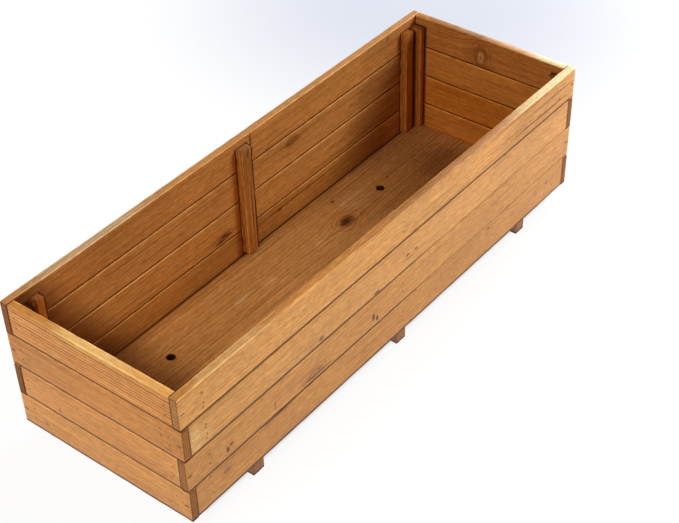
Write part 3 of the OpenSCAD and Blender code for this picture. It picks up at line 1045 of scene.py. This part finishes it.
# The broad dark mark near the right end of each back board is a painted shadow.
BACK_BOARDS = {
    "back_board_1": dict(
        BACK_WALL, shade=(0.96, 0.97, 0.88), pith=(-70, 30), ring=3.6, strength=0.45,
        dark=[(320, 0, 110, 40, 0.28), (88, 15, 8, 4, 0.8), (150, 17, 150, 2.2, 0.7)]),
    "back_board_2": dict(
        BACK_WALL, shade=(1.12, 1.15, 1.20), ends=(0.6, 0.55, 0.55), pith=(-85, -40), ring=4.0,
        strength=0.45, knots=[(-54, -14, 11, 5.5, 1.0)],
        dark=[(-66, -20, 12, 2.4, 0.9), (-45, -16, 12, 2.4, 0.9), (-54, -14, 6, 4, 0.8),
              (375, 0, 120, 42, 0.42), (353, -27, 5, 3, 0.5)]),
    "back_board_3": dict(
        BACK_WALL, shade=(1.13, 1.15, 1.25), pith=(-60, -10), ring=3.4, strength=0.48,
        knots=[(130, 15, 15, 5.5, 0.9)],
        dark=[(-200, -8, 80, 2, 0.3), (385, 0, 110, 40, 0.38), (358, -26, 5, 3, 0.5)]),
    "back_board_4": dict(
        BACK_WALL, shade=(1.19, 1.17, 1.27), top=(0.86, 0.90, 1.15), ends=(0.6, 0.55, 0.55),
        pith=(-75, 40), ring=4.2, strength=0.38, painted_shadow=0.9,
        dark=[(26, 14, 2.5, 16, 0.8), (401, 20, 4, 8, 0.6), (-250, -12, 90, 1.5, 0.3),
              (390, 0, 80, 34, 0.2)],
        pale=[(-330, 30, 140, 2.5, 0.45)]),
}
knot_count = sum(len(values.get("knots", ())) for values in BACK_BOARDS.values())
print(len(BACK_BOARDS), "back boards with", knot_count, "knots")

# %% [markdown]
# The rim of the left end is cut from near the edge of its tree, so its pith lies far off and its rings show
# as strong straight lines, and its top is painted paler as a highlight over the worn stain. The right end has
# a pale oval knot, and a painted highlight at the front of its rim. Its outer faces are in full light, so
# they get a darker colour than the inner ones: a painted shade.

# %% End boards
LEFT_WALL = dict(grain="across the bed", tone=HONEY, joint=4.5, inner=-1)
# The outer faces of the right end get a painted shade, because they stand in full light.
RIGHT_WALL = dict(grain="across the bed", tone=HONEY, joint=3.2, inner=1, outer_painted_shade=(0.66, 0.68, 0.74))
END_BOARDS = {
    "left_board_1": dict(
        LEFT_WALL, shade=(1.12, 1.08, 1.05), ends=(0.72, 0.68, 0.7), pith=(50, 10), ring=3.6,
        strength=0.32, dark=[(120, -8, 8, 5, 0.4)]),
    "left_board_2": dict(
        LEFT_WALL, shade=(1.11, 1.02, 0.90), pith=(65, -40), ring=3.8, strength=0.30,
        dark=[(82, -17, 4, 4, 0.5), (-139, -16, 4, 2, 0.6), (-125, -20, 4, 2, 0.5)],
        pale=[(-153, 0, 2, 30, 0.4)]),
    "left_board_3": dict(
        LEFT_WALL, shade=(0.97, 0.84, 0.58), pith=(60, 30), ring=4.0, strength=0.28,
        dark=[(-129, 16, 3, 2.5, 0.6), (-129, 2, 3, 3, 0.6), (-118, -26, 4, 2, 0.5),
              (-140, -18, 10, 1.5, 0.5), (140, -14, 16, 1.5, 0.4)]),
    # The paler top and the pale marks on the top are a painted highlight, over worn stain.
    "left_board_4": dict(
        LEFT_WALL, shade=(1.14, 1.07, 0.84), top=(1.36, 1.44, 1.8), pith=(30, 228.6), ring=6.2,
        strength=1.5, blotches=0.4, dark=[(120, 30, 75, 6, 0.32)],
        pale=[(-5, 30, 90, 9, 0.35), (-110, 30, 60, 6, 0.16)]),
    "right_board_1": dict(
        RIGHT_WALL, shade=(1.14, 0.92, 0.58), ends=(0.6, 0.62, 0.8), pith=(-60, 20), ring=3.6, strength=0.4),
    "right_board_2": dict(
        RIGHT_WALL, shade=(1.06, 0.81, 0.42), pith=(-70, -35), ring=3.8, strength=0.4),
    "right_board_3": dict(
        RIGHT_WALL, shade=(1.14, 0.98, 0.72), ends=(0.6, 0.62, 0.8), pith=(-55, 30), ring=3.4, strength=0.4),
    "right_board_4": dict(
        RIGHT_WALL, shade=(1.05, 0.90, 0.80), top=(0.93, 1.08, 1.25), pith=(-75, -30), ring=3.6,
        strength=0.5, knots=[(13, -8, 10, 17, 0.0)],
        dark=[(70, 29.75, 90, 2.4, 0.45), (13, -9, 1.5, 6, 0.6)],
        # The last pale mark is a painted highlight at the front of the rim.
        pale=[(13, -8, 8, 15, 0.6), (13, -9, 4, 8, 0.9), (-138, 30, 62, 3.5, 1.0)]),
}
print(len(END_BOARDS), "end boards")

# %% [markdown]
# Boards dry and shrink a little, so a dark gap shows between two courses. Lifting the underside of every
# board but the lowest makes it. Two long boards are chipped: a sliver is torn off the bottom of one, and the
# rim has a nick. Boards that lap get a stain around each staple, and the places of the staples and of the
# seams beside the battens, which get a painted shade, are read from the frame.

# %% Chips, staple stains and seams
CHIPS = {
    "front_board_4": [((-0.025, -0.155, 0.2602), (0.007, 0.004, 0.003))],
    "front_board_2": [((-0.268, -0.1690, 0.0822), (0.175, 0.0045, 0.0055))],
}
JOINT_GAP = 1.0 * MM
STAPLE_STAIN = (4.2, 1.6, 0.8)
SEATED = 0.2 * MM


def middle_and_half(box, axis):
    return (box[0][axis] + box[1][axis]) / 2, (box[1][axis] - box[0][axis]) / 2


def laps(node_name):
    """Whether this board laps the other wall at the corners. The courses do it by turns."""
    wall, _, course = node_name.split("_")
    return (int(course) % 2 == 0) == (wall in ("front", "back"))


def staple_stains(board, along):
    """A dark mark around each staple in this board, in mm from its middle."""
    middle, _ = middle_and_half(board, along)
    return [((middle_and_half(staple, along)[0] - middle) / MM, 0, *STAPLE_STAIN)
            for staple in staples if touches(staple, board)]


def batten_seams(board, along):
    """Where battens lie against this board: their middle, half width and top, from its own middle."""
    middle, level = (middle_and_half(board, axis)[0] for axis in (along, 2))
    lying = [box for box in (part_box(name) for name in nodes if name.endswith("_batten"))
             if touches(box, board, SEATED)]
    return [(centre - middle, half, box[1][2] - level)
            for box in lying for centre, half in [middle_and_half(box, along)]]


# %% [markdown]
# Now the loop that makes them. The seeds come from the place of a board in the list, so every board
# has its own wear and grain, and the same ones each time the script runs.

# %% Make the wall boards
WALLS = {**FRONT_BOARDS, **BACK_BOARDS, **END_BOARDS}

for number, (node_name, wood_values) in enumerate(WALLS.items()):
    board_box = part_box(node_name)
    along = 0 if wood_values["grain"] == "along the bed" else 1
    chips = [bite(place, size, number) for place, size in CHIPS.get(node_name, ())]
    board = timber(node_name, seed=7 * number + 3, cutters=chips,
                   gap=0.0 if node_name.endswith("1") else JOINT_GAP)
    stains = staple_stains(board_box, along) if laps(node_name) else []
    wood_values["dark"] = [*wood_values.get("dark", ()), *stains]
    stained_wood(board, node_name, seed=7 * number + 3, butts=not laps(node_name),
                 seams=batten_seams(board_box, along), **wood_values)
face_count = sum(len(thing.data.polygons) for thing in scene.objects if thing.name.endswith("_timber"))
print(len(WALLS), "wall boards with", face_count, "faces")

# %% [markdown]
# ## The battens
#
# The battens were stained darker and sawn rougher than the boards. The tops of some are split, and
# the feet of the middle ones are torn. A plain cut would be too clean for either, so rough pebbles
# bite into them, as they do into the chipped boards.

# %% Battens
UPRIGHT = dict(grain="upright", tone="D49244", pith=(12, 40), ring=2.6, strength=0.9, bump=0.8)
RIGHT_TONE = "CE8536"
BATTENS = {
    "back_middle_batten": dict(
        UPRIGHT, strength=1.5, pale=[(99, -8, 10, 3, 0.45)],
        dark=[(-25, -3, 75, 1.2, 0.8), (-50, 6, 55, 1.0, 0.7), (50, 4, 50, 0.9, 0.35), (95, 0, 8, 6, 0.4)]),
    "back_right_wall_batten": dict(
        UPRIGHT, tone=RIGHT_TONE, shine=0.08, knots=[(80, 2, 7, 6, 0.5)], dark=[(-60, 2, 50, 2, 0.5)]),
    "back_right_end_batten": dict(UPRIGHT, tone="D08030"),
    # The two battens in the left corner get the painted shadow of the left end.
    "back_left_wall_batten": dict(UPRIGHT, tone="E0903C", inner=0, painted_shadow=0.35, dark=[(90, 11, 50, 8, 0.85)]),
    "back_left_end_batten": dict(UPRIGHT, inner=0, painted_shadow=0.8),
    "front_middle_batten": dict(UPRIGHT),
    "front_left_wall_batten": dict(UPRIGHT),
    "front_left_end_batten": dict(UPRIGHT),
    "front_right_wall_batten": dict(UPRIGHT, tone=RIGHT_TONE),
    "front_right_end_batten": dict(UPRIGHT, tone=RIGHT_TONE),
}
BATTEN_STEP = {"long": 5 * MM, "wide": 6 * MM, "thick": 5 * MM}
TOP_SPLIT = (0.009, 0.010, 0.011)
FOOT_TEAR = (0.012, 0.022, 0.012)
TEAR_SHARES = (0.1, 0.35, 0.65, 0.95)


def batten_bites(node_name, number):
    """Split corners at the top of a batten, and a torn foot under a middle one."""
    low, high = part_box(node_name)
    wide = high[0] - low[0]
    bites = []
    if "right" not in node_name:
        bites += [bite((low[0] + side * wide, low[1], high[2] + MM), TOP_SPLIT, number + 9 * side)
                  for side in (0, 1)]
    if "middle" in node_name:
        bites += [bite((low[0] + share * wide, (low[1] + high[1]) / 2, low[2]), FOOT_TEAR, number + share)
                  for share in TEAR_SHARES]
    return bites


for number, (node_name, wood_values) in enumerate(BATTENS.items()):
    batten = timber(node_name, seed=9 * number + 200, arris=0.7 * MM, worn=0.9 * MM,
                    bow=0.15 * MM, steps=BATTEN_STEP, cutters=batten_bites(node_name, number))
    stained_wood(batten, node_name, seed=9 * number + 200, **wood_values)
print(len(BATTENS), "battens")

# %% [markdown]
# ## The floor and the feet
#
# The floor is one wide panel with a big knot, scuffed pale beside it. Its four drain holes are drilled like
# the nail holes, with a broken edge at the top, and get a painted shade inside and around their mouths. The
# floor has a painted shadow at its left end and near its right end. The feet show dark end grain under the
# front wall.

# %% Floor and feet
DRAIN_RADIUS, DRAIN_EASE, DRAIN_DEEP = 7.5 * MM, 1.5 * MM, 14 * MM
DRAIN_X, DRAIN_Y = 276, 78.5
# The drain marks are a painted shade inside and around each hole.
DRAIN_SHADE = (9, 9, 0.8)
DRAINS = [(side * DRAIN_X, across * DRAIN_Y) for side in (-1, 1) for across in (-1, 1)]
FLOOR_STEP = {"long": 12 * MM, "wide": 12 * MM, "thick": 12 * MM}
FOOT_STEP = {"long": 6 * MM, "wide": 6 * MM, "thick": 6 * MM}

floor_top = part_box("floor_panel")[1][2]
drain_bores = bmesh.new()
for x, y in DRAINS:
    turned_cutter(drain_bores, Matrix.Translation((x * MM, y * MM, floor_top)),
                  [(0, MM), (DRAIN_RADIUS + DRAIN_EASE, MM), (DRAIN_RADIUS, -0.5 * MM),
                   (DRAIN_RADIUS, -DRAIN_DEEP), (0, -DRAIN_DEEP)], steps=36)
bmesh.ops.remove_doubles(drain_bores, verts=drain_bores.verts, dist=MERGE)
bmesh.ops.recalc_face_normals(drain_bores, faces=drain_bores.faces)
panel = timber("floor_panel", seed=311, arris=0.8 * MM, worn=0.2 * MM, bow=0.2 * MM,
               steps=FLOOR_STEP, cutters=[drain_bores])
# The broad dark mark near the right end of the floor is a painted shadow.
stained_wood(panel, "floor_panel", grain="floor", tone="C98E4C", seed=311, pith=(40, 120), ring=8.0,
             strength=0.6, figure=0.6, painted_shadow=0.75, shine=0.08, bore_shade=True,
             knots=[(165, -68, 16, 11, 1.0), (-260, 60, 10, 7, 0.8)],
             dark=[(163, -68, 19, 9, 0.95), (193, -123, 5, 4, 0.7), (310, -88, 4, 3, 0.7),
                   (410, 0, 70, 110, 0.45), *((x, -y, *DRAIN_SHADE) for x, y in DRAINS)],
             pale=[(170, -66, 6, 3, 0.9), (-104, -80, 22, 6, 0.3), (-39, -70, 18, 4, 0.25),
                   (86, -68, 20, 4, 0.25), (120, -74, 14, 3, 0.2), (220, -95, 40, 30, 0.12)])

FEET = ("left_foot", "middle_foot", "right_foot")
for number, node_name in enumerate(FEET):
    foot = timber(node_name, seed=400 + 13 * number, worn=0.8 * MM, bow=0.2 * MM,
                  steps=FOOT_STEP)
    stained_wood(foot, node_name, grain="across the bed", tone="B08058", seed=400 + 13 * number,
                 ends=(1.35, 1.4, 1.4), pith=(8, -14), ring=2.4, strength=0.8)
print("one floor panel with", len(DRAINS), "drain holes, on", len(FEET), "feet")

# %% [markdown]
# ## The steel
#
# The staples, brads and nails stay as the CAD has them. Bright wire goes dull outdoors, so a noise
# mixes rusty steel with darker, rougher spots. The staple at the front left corner of the rim still
# shines. The brads were driven before the bed was stained, so they are plain brown.

# %% Weathered wire steel
BRIGHT_STAPLE = (-0.493, -0.162, 0.23)
BRIGHT_EDGE = (0.016, 0.012)

steel, t = new_material("weathered wire steel")
place = t.add("TexCoord").outputs["Object"]
spots = t.step(t.noise(place, (260, 260, 260), detail=4.0), 0.42, 0.62)
bright = t.step(t.vector("LENGTH", t.vector("SUBTRACT", place, BRIGHT_STAPLE)), *BRIGHT_EDGE)
rust = t.mix(spots, colour("6A5038"), colour("3A2618"))
surface = t.add("BsdfPrincipled")
t.feed(surface.inputs["Metallic"], t.math("MULTIPLY_ADD", bright, 0.55, 0.4))
t.feed(surface.inputs["Base Color"], t.mix(bright, rust, colour("C9C2B6")))
t.feed(surface.inputs["Roughness"], t.math("MULTIPLY_ADD", spots, 0.35, 0.32))
t.feed(t.add("OutputMaterial").inputs["Surface"], surface.outputs["BSDF"])

stained_steel, t = new_material("brad heads under the stain")
surface = t.add("BsdfPrincipled")
surface.inputs["Base Color"].default_value = colour("4E2C16")
surface.inputs["Roughness"].default_value = 0.55
t.feed(t.add("OutputMaterial").inputs["Surface"], surface.outputs["BSDF"])

FASTENERS = {"corner_staples": steel, "batten_brads": stained_steel, "foot_nails": steel}
for node_name, finish in FASTENERS.items():
    nodes[node_name].data.materials.clear()
    nodes[node_name].data.materials.append(finish)
print("steel on", len(FASTENERS), "nodes")

# %% [markdown]
